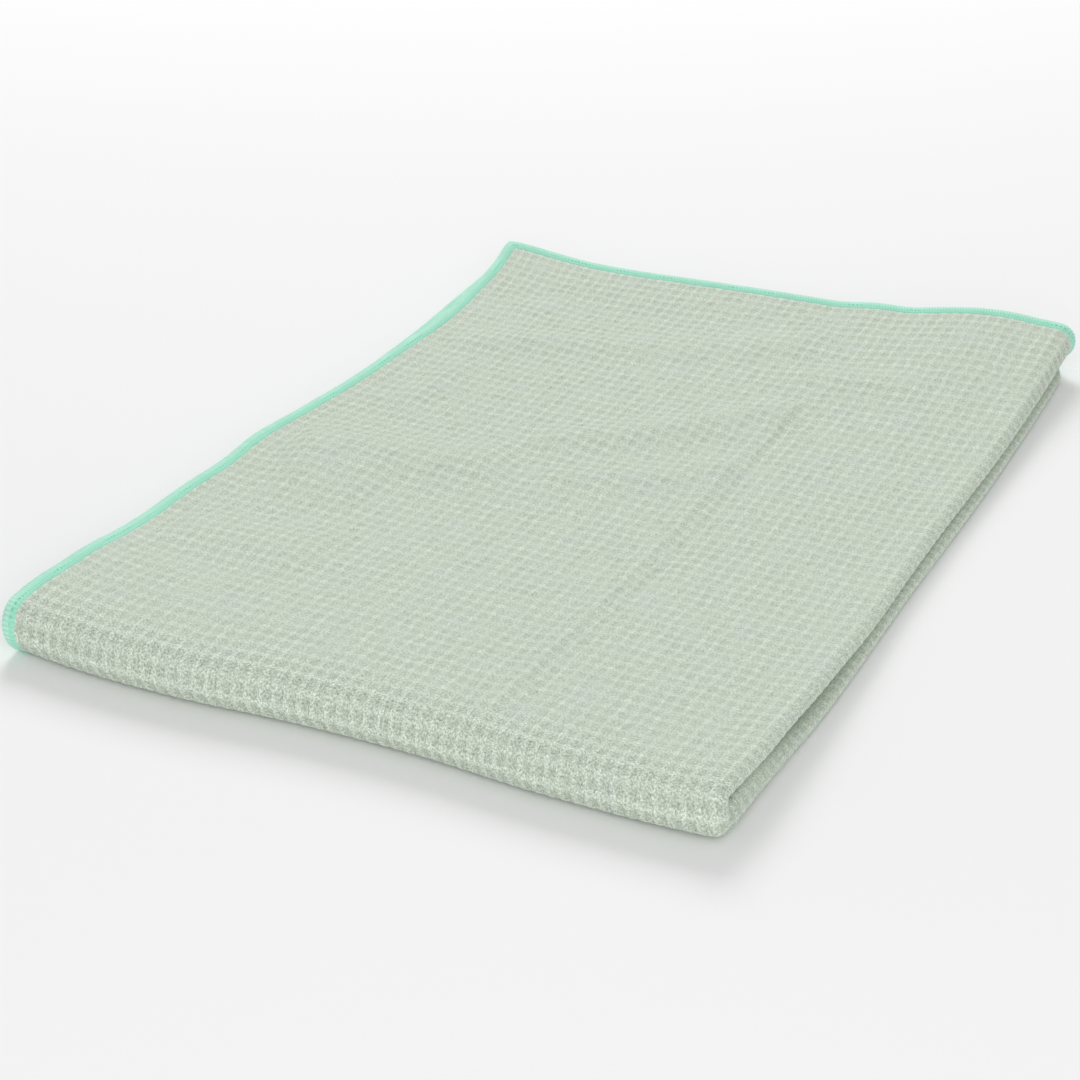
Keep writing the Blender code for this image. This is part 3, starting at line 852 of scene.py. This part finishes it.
def relief(s, c, random):
    """How far the outer face lies below the tops of the ridges: 0 on a ridge, about 1 in a pit."""
    column, row = s / CELL_ACROSS, c / CELL_ALONG
    fall = PIT_FROM - RIDGE_HALF_WIDTH
    side_s = np.clip((np.abs(column - np.round(column)) - RIDGE_HALF_WIDTH) / fall, 0, 1)
    side_c = np.clip((np.abs(row - np.round(row)) - RIDGE_HALF_WIDTH) / fall, 0, 1)
    pit = side_s * side_c
    depth = random.uniform(SHALLOWEST, DEEPEST, (CELLS_ACROSS + 2, CELLS_ALONG + 2))
    this_column = np.floor(column).astype(int) + CELLS_ACROSS // 2
    this_row = np.floor(row).astype(int) + CELLS_ALONG // 2
    # The ridges stand highest where two cross, and sag a little between.
    sag = RIDGE_SAG * np.maximum(side_s, side_c) + RIDGE_UNEVEN * random.uniform(0, 1, s.shape)
    hem = HEM_FLAT + (1 - HEM_FLAT) * ease((to_edge(s, c) - RIM_WIDTH) / (HEM_REACH - RIM_WIDTH))
    return (pit * depth[this_column, this_row] + sag * (1 - pit)) * hem


def rim_share(s, c):
    """1 on the body of the cloth and 0 on its thinned rim."""
    return np.clip((to_edge(s, c) - RIM_WIDTH) / RIM_SHOULDER, 0, 1)


def rim_faces(number, inner_number, few_s, few_c):
    """Faces that close the edge: each spans one step of the inner face and the outer steps beside it."""
    faces = []
    for a in range(len(few_s) - 1):
        outer = number[few_s[a] : few_s[a + 1] + 1]
        faces.append(outer[:, 0].tolist() + inner_number[[a + 1, a], 0].tolist())
        faces.append(outer[::-1, -1].tolist() + inner_number[[a, a + 1], -1].tolist())
    for b in range(len(few_c) - 1):
        outer = number[:, few_c[b] : few_c[b + 1] + 1]
        faces.append(outer[0, ::-1].tolist() + inner_number[0, [b, b + 1]].tolist())
        faces.append(outer[-1].tolist() + inner_number[-1, [b + 1, b]].tolist())
    return faces


def build_cloth(material, pit_depth):
    """The folded sheet: its outer face woven in cells, its inner face plain, closed at the rim."""
    random = np.random.default_rng(WEAVE_SEED)
    across = stations(CELLS_ACROSS, CELL_ACROSS, CELLS_ROUND_THE_ROLL)
    along = stations(CELLS_ALONG, CELL_ALONG, CELLS_UNDER_THE_FOLD)
    s, c = np.meshgrid(across, along, indexing="ij")
    celled = (s < CELLS_ROUND_THE_ROLL) & (c < CELLS_UNDER_THE_FOLD)
    sunk = np.where(celled, relief(s, c, random), PLAIN_SINK) * pit_depth
    body = rim_share(s, c)
    at_s, at_c = wandered(s, c, random)
    middle, normal = folded(at_s, at_c), facing(at_s, at_c)
    rim_half = RIM_THICKNESS / 2
    outer_half = rim_half + (CLOTH_THICKNESS / 2 - sunk - rim_half) * body
    inner_half = rim_half + (CLOTH_THICKNESS / 2 - PLAIN_SINK * pit_depth - rim_half) * body
    outer = middle - normal * outer_half[..., None]

    few_s = coarse_part_of(across, CELL_ACROSS, CELLS_ROUND_THE_ROLL)
    few_c = coarse_part_of(along, CELL_ALONG, CELLS_UNDER_THE_FOLD)
    few = np.ix_(few_s, few_c)
    inner = (middle + normal * inner_half[..., None])[few]

    weave = np.stack([s / CELL_ACROSS, c / CELL_ALONG], axis=-1)
    points = np.concatenate([outer.reshape(-1, 3), inner.reshape(-1, 3)])
    uv = np.concatenate([weave.reshape(-1, 2), weave[few].reshape(-1, 2)])
    number = np.arange(s.size).reshape(s.shape)
    inner_number = number.size + np.arange(len(few_s) * len(few_c)).reshape(len(few_s), len(few_c))
    faces = quads(number[:, ::-1]) + quads(inner_number) + rim_faces(number, inner_number, few_s, few_c)
    return mesh_object("towel_waffle_cloth", points, faces, "Weave", uv, material)


def around_the_sheet(inset, across, along):
    """The loop of s and c round the sheet, this far in from its edge, two stations to a stitch.

    It starts at the corner that lies hidden, on layer 3.
    """
    down_s = np.linspace(1, -1, 2 * across + 1)[:-1]
    down_c = np.linspace(1, -1, 2 * along + 1)[:-1]
    ones_s, ones_c = np.ones(2 * across), np.ones(2 * along)
    s_share = np.concatenate([down_s, -ones_c, -down_s, ones_c])
    c_share = np.concatenate([ones_s, down_c, -ones_s, -down_c])
    return s_share * (SHEET_WIDTH / 2 - inset), c_share * (SHEET_LENGTH / 2 - inset)


def build_overlock(material, look):
    """The overlock: one closed loop of stitches that wraps the whole edge of the sheet."""
    random = np.random.default_rng(STITCH_SEED)
    across = round(SHEET_WIDTH / look.stitch_pitch)
    along = round(SHEET_LENGTH / look.stitch_pitch)
    stitches = 2 * (across + along)
    crown = np.tile([1.0, -1.0], stitches)
    rib = crown * np.repeat(random.uniform(SMALLEST_STITCH, LARGEST_STITCH, stitches), 2) * look.stitch_rise
    ragged = np.repeat(random.uniform(-1, 1, stitches), 2) * LIP_RAGGED
    rails, uv = [], []
    for point in BEAD:
        inset = point.inset * MM - point.out * rib
        if point.inset > LIP_FROM and point.height > 0:
            inset = inset + ragged
        s, c = around_the_sheet(inset, across, along)
        puff = point.puff * MM * on_top(s, c) * look.bead_puff
        height = np.sign(point.height) * (abs(point.height) * MM + puff + point.up * rib)
        rails.append(folded(s, c) - facing(s, c) * height[:, None])
        uv.append(np.stack([np.arange(len(s)) / 2, np.full(len(s), point.inset)], axis=-1))
    number = np.arange(len(BEAD) * len(crown)).reshape(len(BEAD), -1)
    closed = np.pad(number, ((0, 1), (0, 1)), mode="wrap")
    points, uv = np.concatenate(rails), np.concatenate(uv)
    return mesh_object("towel_overlock", points, quads(closed), "Stitches", uv, material)


# ---------------------------------------------------------------------------------------------
# Stage
# ---------------------------------------------------------------------------------------------

CAMERA_AZIMUTH = radians(25.86)
CAMERA_ELEVATION = radians(29.2)
CAMERA_DISTANCE = 0.885
CAMERA_LENS = 85  # in millimetres, as is the sensor
CAMERA_SENSOR = 36
CAMERA_TARGET = Vector((-2.8 * MM, -34.4 * MM, 0))
FLOOR_SIZE = 12


def from_angle(azimuth, elevation, distance):
    """A place at this distance, turned round Z from -Y and raised above the horizon."""
    level = cos(elevation) * distance
    return Vector((sin(azimuth) * level, -cos(azimuth) * level, sin(elevation) * distance))


def soft_light(name, azimuth, elevation, distance, size, power):
    """A square soft light that points at the towel: angles in degrees, lengths in metres."""
    light = bpy.data.lights.new(name, "AREA")
    light.size = size
    light.energy = power
    lamp = bpy.data.objects.new(name, light)
    lamp.location = from_angle(radians(azimuth), radians(elevation), distance)
    lamp.rotation_euler = lamp.location.to_track_quat("Z", "Y").to_euler()
    bpy.context.scene.collection.objects.link(lamp)


def build_stage(look):
    """The pale floor, the soft lights and the camera."""
    nothing_selected()
    bpy.ops.mesh.primitive_plane_add(size=FLOOR_SIZE, location=(0, 0, CAD_LOW.z))
    floor = bpy.context.object
    floor.name = "backdrop_floor"
    floor.data.materials.append(backdrop())

    world = bpy.data.worlds.new("Studio white")
    world.use_nodes = True
    background = world.node_tree.nodes["Background"]
    background.inputs["Color"].default_value = (1, 1, 1, 1)
    background.inputs["Strength"].default_value = look.surround
    bpy.context.scene.world = world

    soft_light("key_softbox", azimuth=-152, elevation=38, distance=2.6, size=1.2, power=look.key_power)
    soft_light("front_fill", azimuth=26, elevation=28, distance=1.8, size=1.4, power=look.front_power)

    camera = bpy.data.cameras.new("camera")
    camera.lens = CAMERA_LENS
    camera.sensor_width = CAMERA_SENSOR
    camera.clip_start = 0.05
    viewer = bpy.data.objects.new("camera", camera)
    viewer.location = CAMERA_TARGET + from_angle(CAMERA_AZIMUTH, CAMERA_ELEVATION, CAMERA_DISTANCE)
    viewer.rotation_euler = (viewer.location - CAMERA_TARGET).to_track_quat("Z", "Y").to_euler()
    bpy.context.scene.collection.objects.link(viewer)
    bpy.context.scene.camera = viewer
    bpy.context.scene.view_settings.view_transform = "Standard"


# ---------------------------------------------------------------------------------------------
# Add-on
# ---------------------------------------------------------------------------------------------


def length(name, description, default):
    """A length that a user can change."""
    return bpy.props.FloatProperty(
        name=name, description=description, default=default, min=0, unit="LENGTH", precision=5
    )


def colour(name, description, hex_colour):
    """A colour that a user can change."""
    return bpy.props.FloatVectorProperty(
        name=name,
        description=description,
        default=linear(hex_colour),
        size=4,
        min=0,
        max=1,
        subtype="COLOR",
    )


class ClothLook(bpy.types.PropertyGroup):
    """The weave's size and colours."""

    pit_depth: length("Pit depth", "How deep the waffle cells are", 0.57 * MM)
    thread_spacing: length("Thread spacing", "From one drawn thread to the next", 0.72 * MM)
    # A painted highlight where two ridges cross
    cloth_crossing_highlight: colour("Crossings", "Where two ridges cross", "D3DECF")
    cloth_warm: colour("Ridges, warm", "Raised threads where the cloth is warmer", "CBD5C5")
    cloth_cool: colour("Ridges, cool", "Raised threads where the cloth is cooler", "CAD4C8")
    # The pits' darker colour is a painted shade
    cloth_pit_shade: colour("Pits", "Sunken threads", "BEC9B9")


class OverlockLook(bpy.types.PropertyGroup):
    """The overlock's sizes and colours."""

    stitch_pitch: length("Stitch pitch", "From one stitch to the next", 1.15 * MM)
    stitch_rise: length("Stitch rise", "How far a stitch stands proud", 0.17 * MM)
    bead_puff: bpy.props.FloatProperty(
        name="Puff", description="How far the upper edge puffs up", default=1.0, min=0, subtype="FACTOR"
    )
    thread: colour("Thread", "Thread over the edge", "BDF1DC")
    # Darker thread on the slope down to the cloth: a painted shade
    thread_slope_shade: colour("Thread, deep", "Thread on the slope down to the cloth", "A6E8CF")
    thread_shade: colour("Thread, shade", "Thread between stitches", "94DABF")
    # Dark points where the needle thread pulls in: a painted shade
    thread_point_shade: colour("Thread, points", "Where the needle thread pulls in", "80CCAF")


class StageLook(bpy.types.PropertyGroup):
    """The light on the towel."""

    surround: bpy.props.FloatProperty(
        name="Surround", description="Strength of the white surround", default=0.53, min=0
    )
    key_power: bpy.props.FloatProperty(
        name="Key", description="Power of the main soft light", default=35.0, min=0, unit="POWER"
    )
    front_power: bpy.props.FloatProperty(
        name="Front", description="Power of the front light", default=13.0, min=0, unit="POWER"
    )


class TOWEL_OT_stage(bpy.types.Operator):
    """Set the floor, the lights and the camera"""

    bl_idname = "towel.stage"
    bl_label = "Stage"

    def execute(self, context):
        build_stage(context.scene.towel_stage_look)
        return {"FINISHED"}


class TOWEL_OT_cloth(bpy.types.Operator):
    """Make the folded waffle cloth"""

    bl_idname = "towel.cloth"
    bl_label = "Waffle cloth"

    def execute(self, context):
        look = context.scene.towel_cloth_look
        piece = build_cloth(waffle_cloth(look), look.pit_depth)
        face_outwards(piece)
        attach(piece, "root")
        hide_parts("towel_cloth")
        return {"FINISHED"}


class TOWEL_OT_overlock(bpy.types.Operator):
    """Make the overlock stitches round the edge"""

    bl_idname = "towel.overlock"
    bl_label = "Overlocked edge"

    def execute(self, context):
        look = context.scene.towel_overlock_look
        piece = build_overlock(overlock_thread(look), look)
        face_outwards(piece)
        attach(piece, "root")
        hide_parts("overlock_edge")
        return {"FINISHED"}


class TOWEL_PT_panel(bpy.types.Panel):
    """The towel's pieces, sizes, colours and light"""

    bl_label = "Folded yoga towel"
    bl_space_type = "VIEW_3D"
    bl_region_type = "UI"
    bl_category = "Towel"

    def draw(self, context):
        for operator in OPERATORS:
            self.layout.operator(operator.bl_idname)
        for name in LOOKS:
            look = getattr(context.scene, name)
            for shown in look.bl_rna.properties.keys():
                if shown not in {"rna_type", "name"}:
                    self.layout.prop(look, shown)


LOOKS = {"towel_cloth_look": ClothLook, "towel_overlock_look": OverlockLook, "towel_stage_look": StageLook}
OPERATORS = (TOWEL_OT_stage, TOWEL_OT_cloth, TOWEL_OT_overlock)
CLASSES = (*LOOKS.values(), *OPERATORS, TOWEL_PT_panel)


def register():
    for each in CLASSES:
        bpy.utils.register_class(each)
    for name, look in LOOKS.items():
        setattr(bpy.types.Scene, name, bpy.props.PointerProperty(type=look))


def unregister():
    for name in LOOKS:
        delattr(bpy.types.Scene, name)
    for each in reversed(CLASSES):
        bpy.utils.unregister_class(each)


def main():
    register()
    bpy.ops.towel.stage()
    bpy.ops.towel.cloth()
    bpy.ops.towel.overlock()


if __name__ == "__main__":
    main()
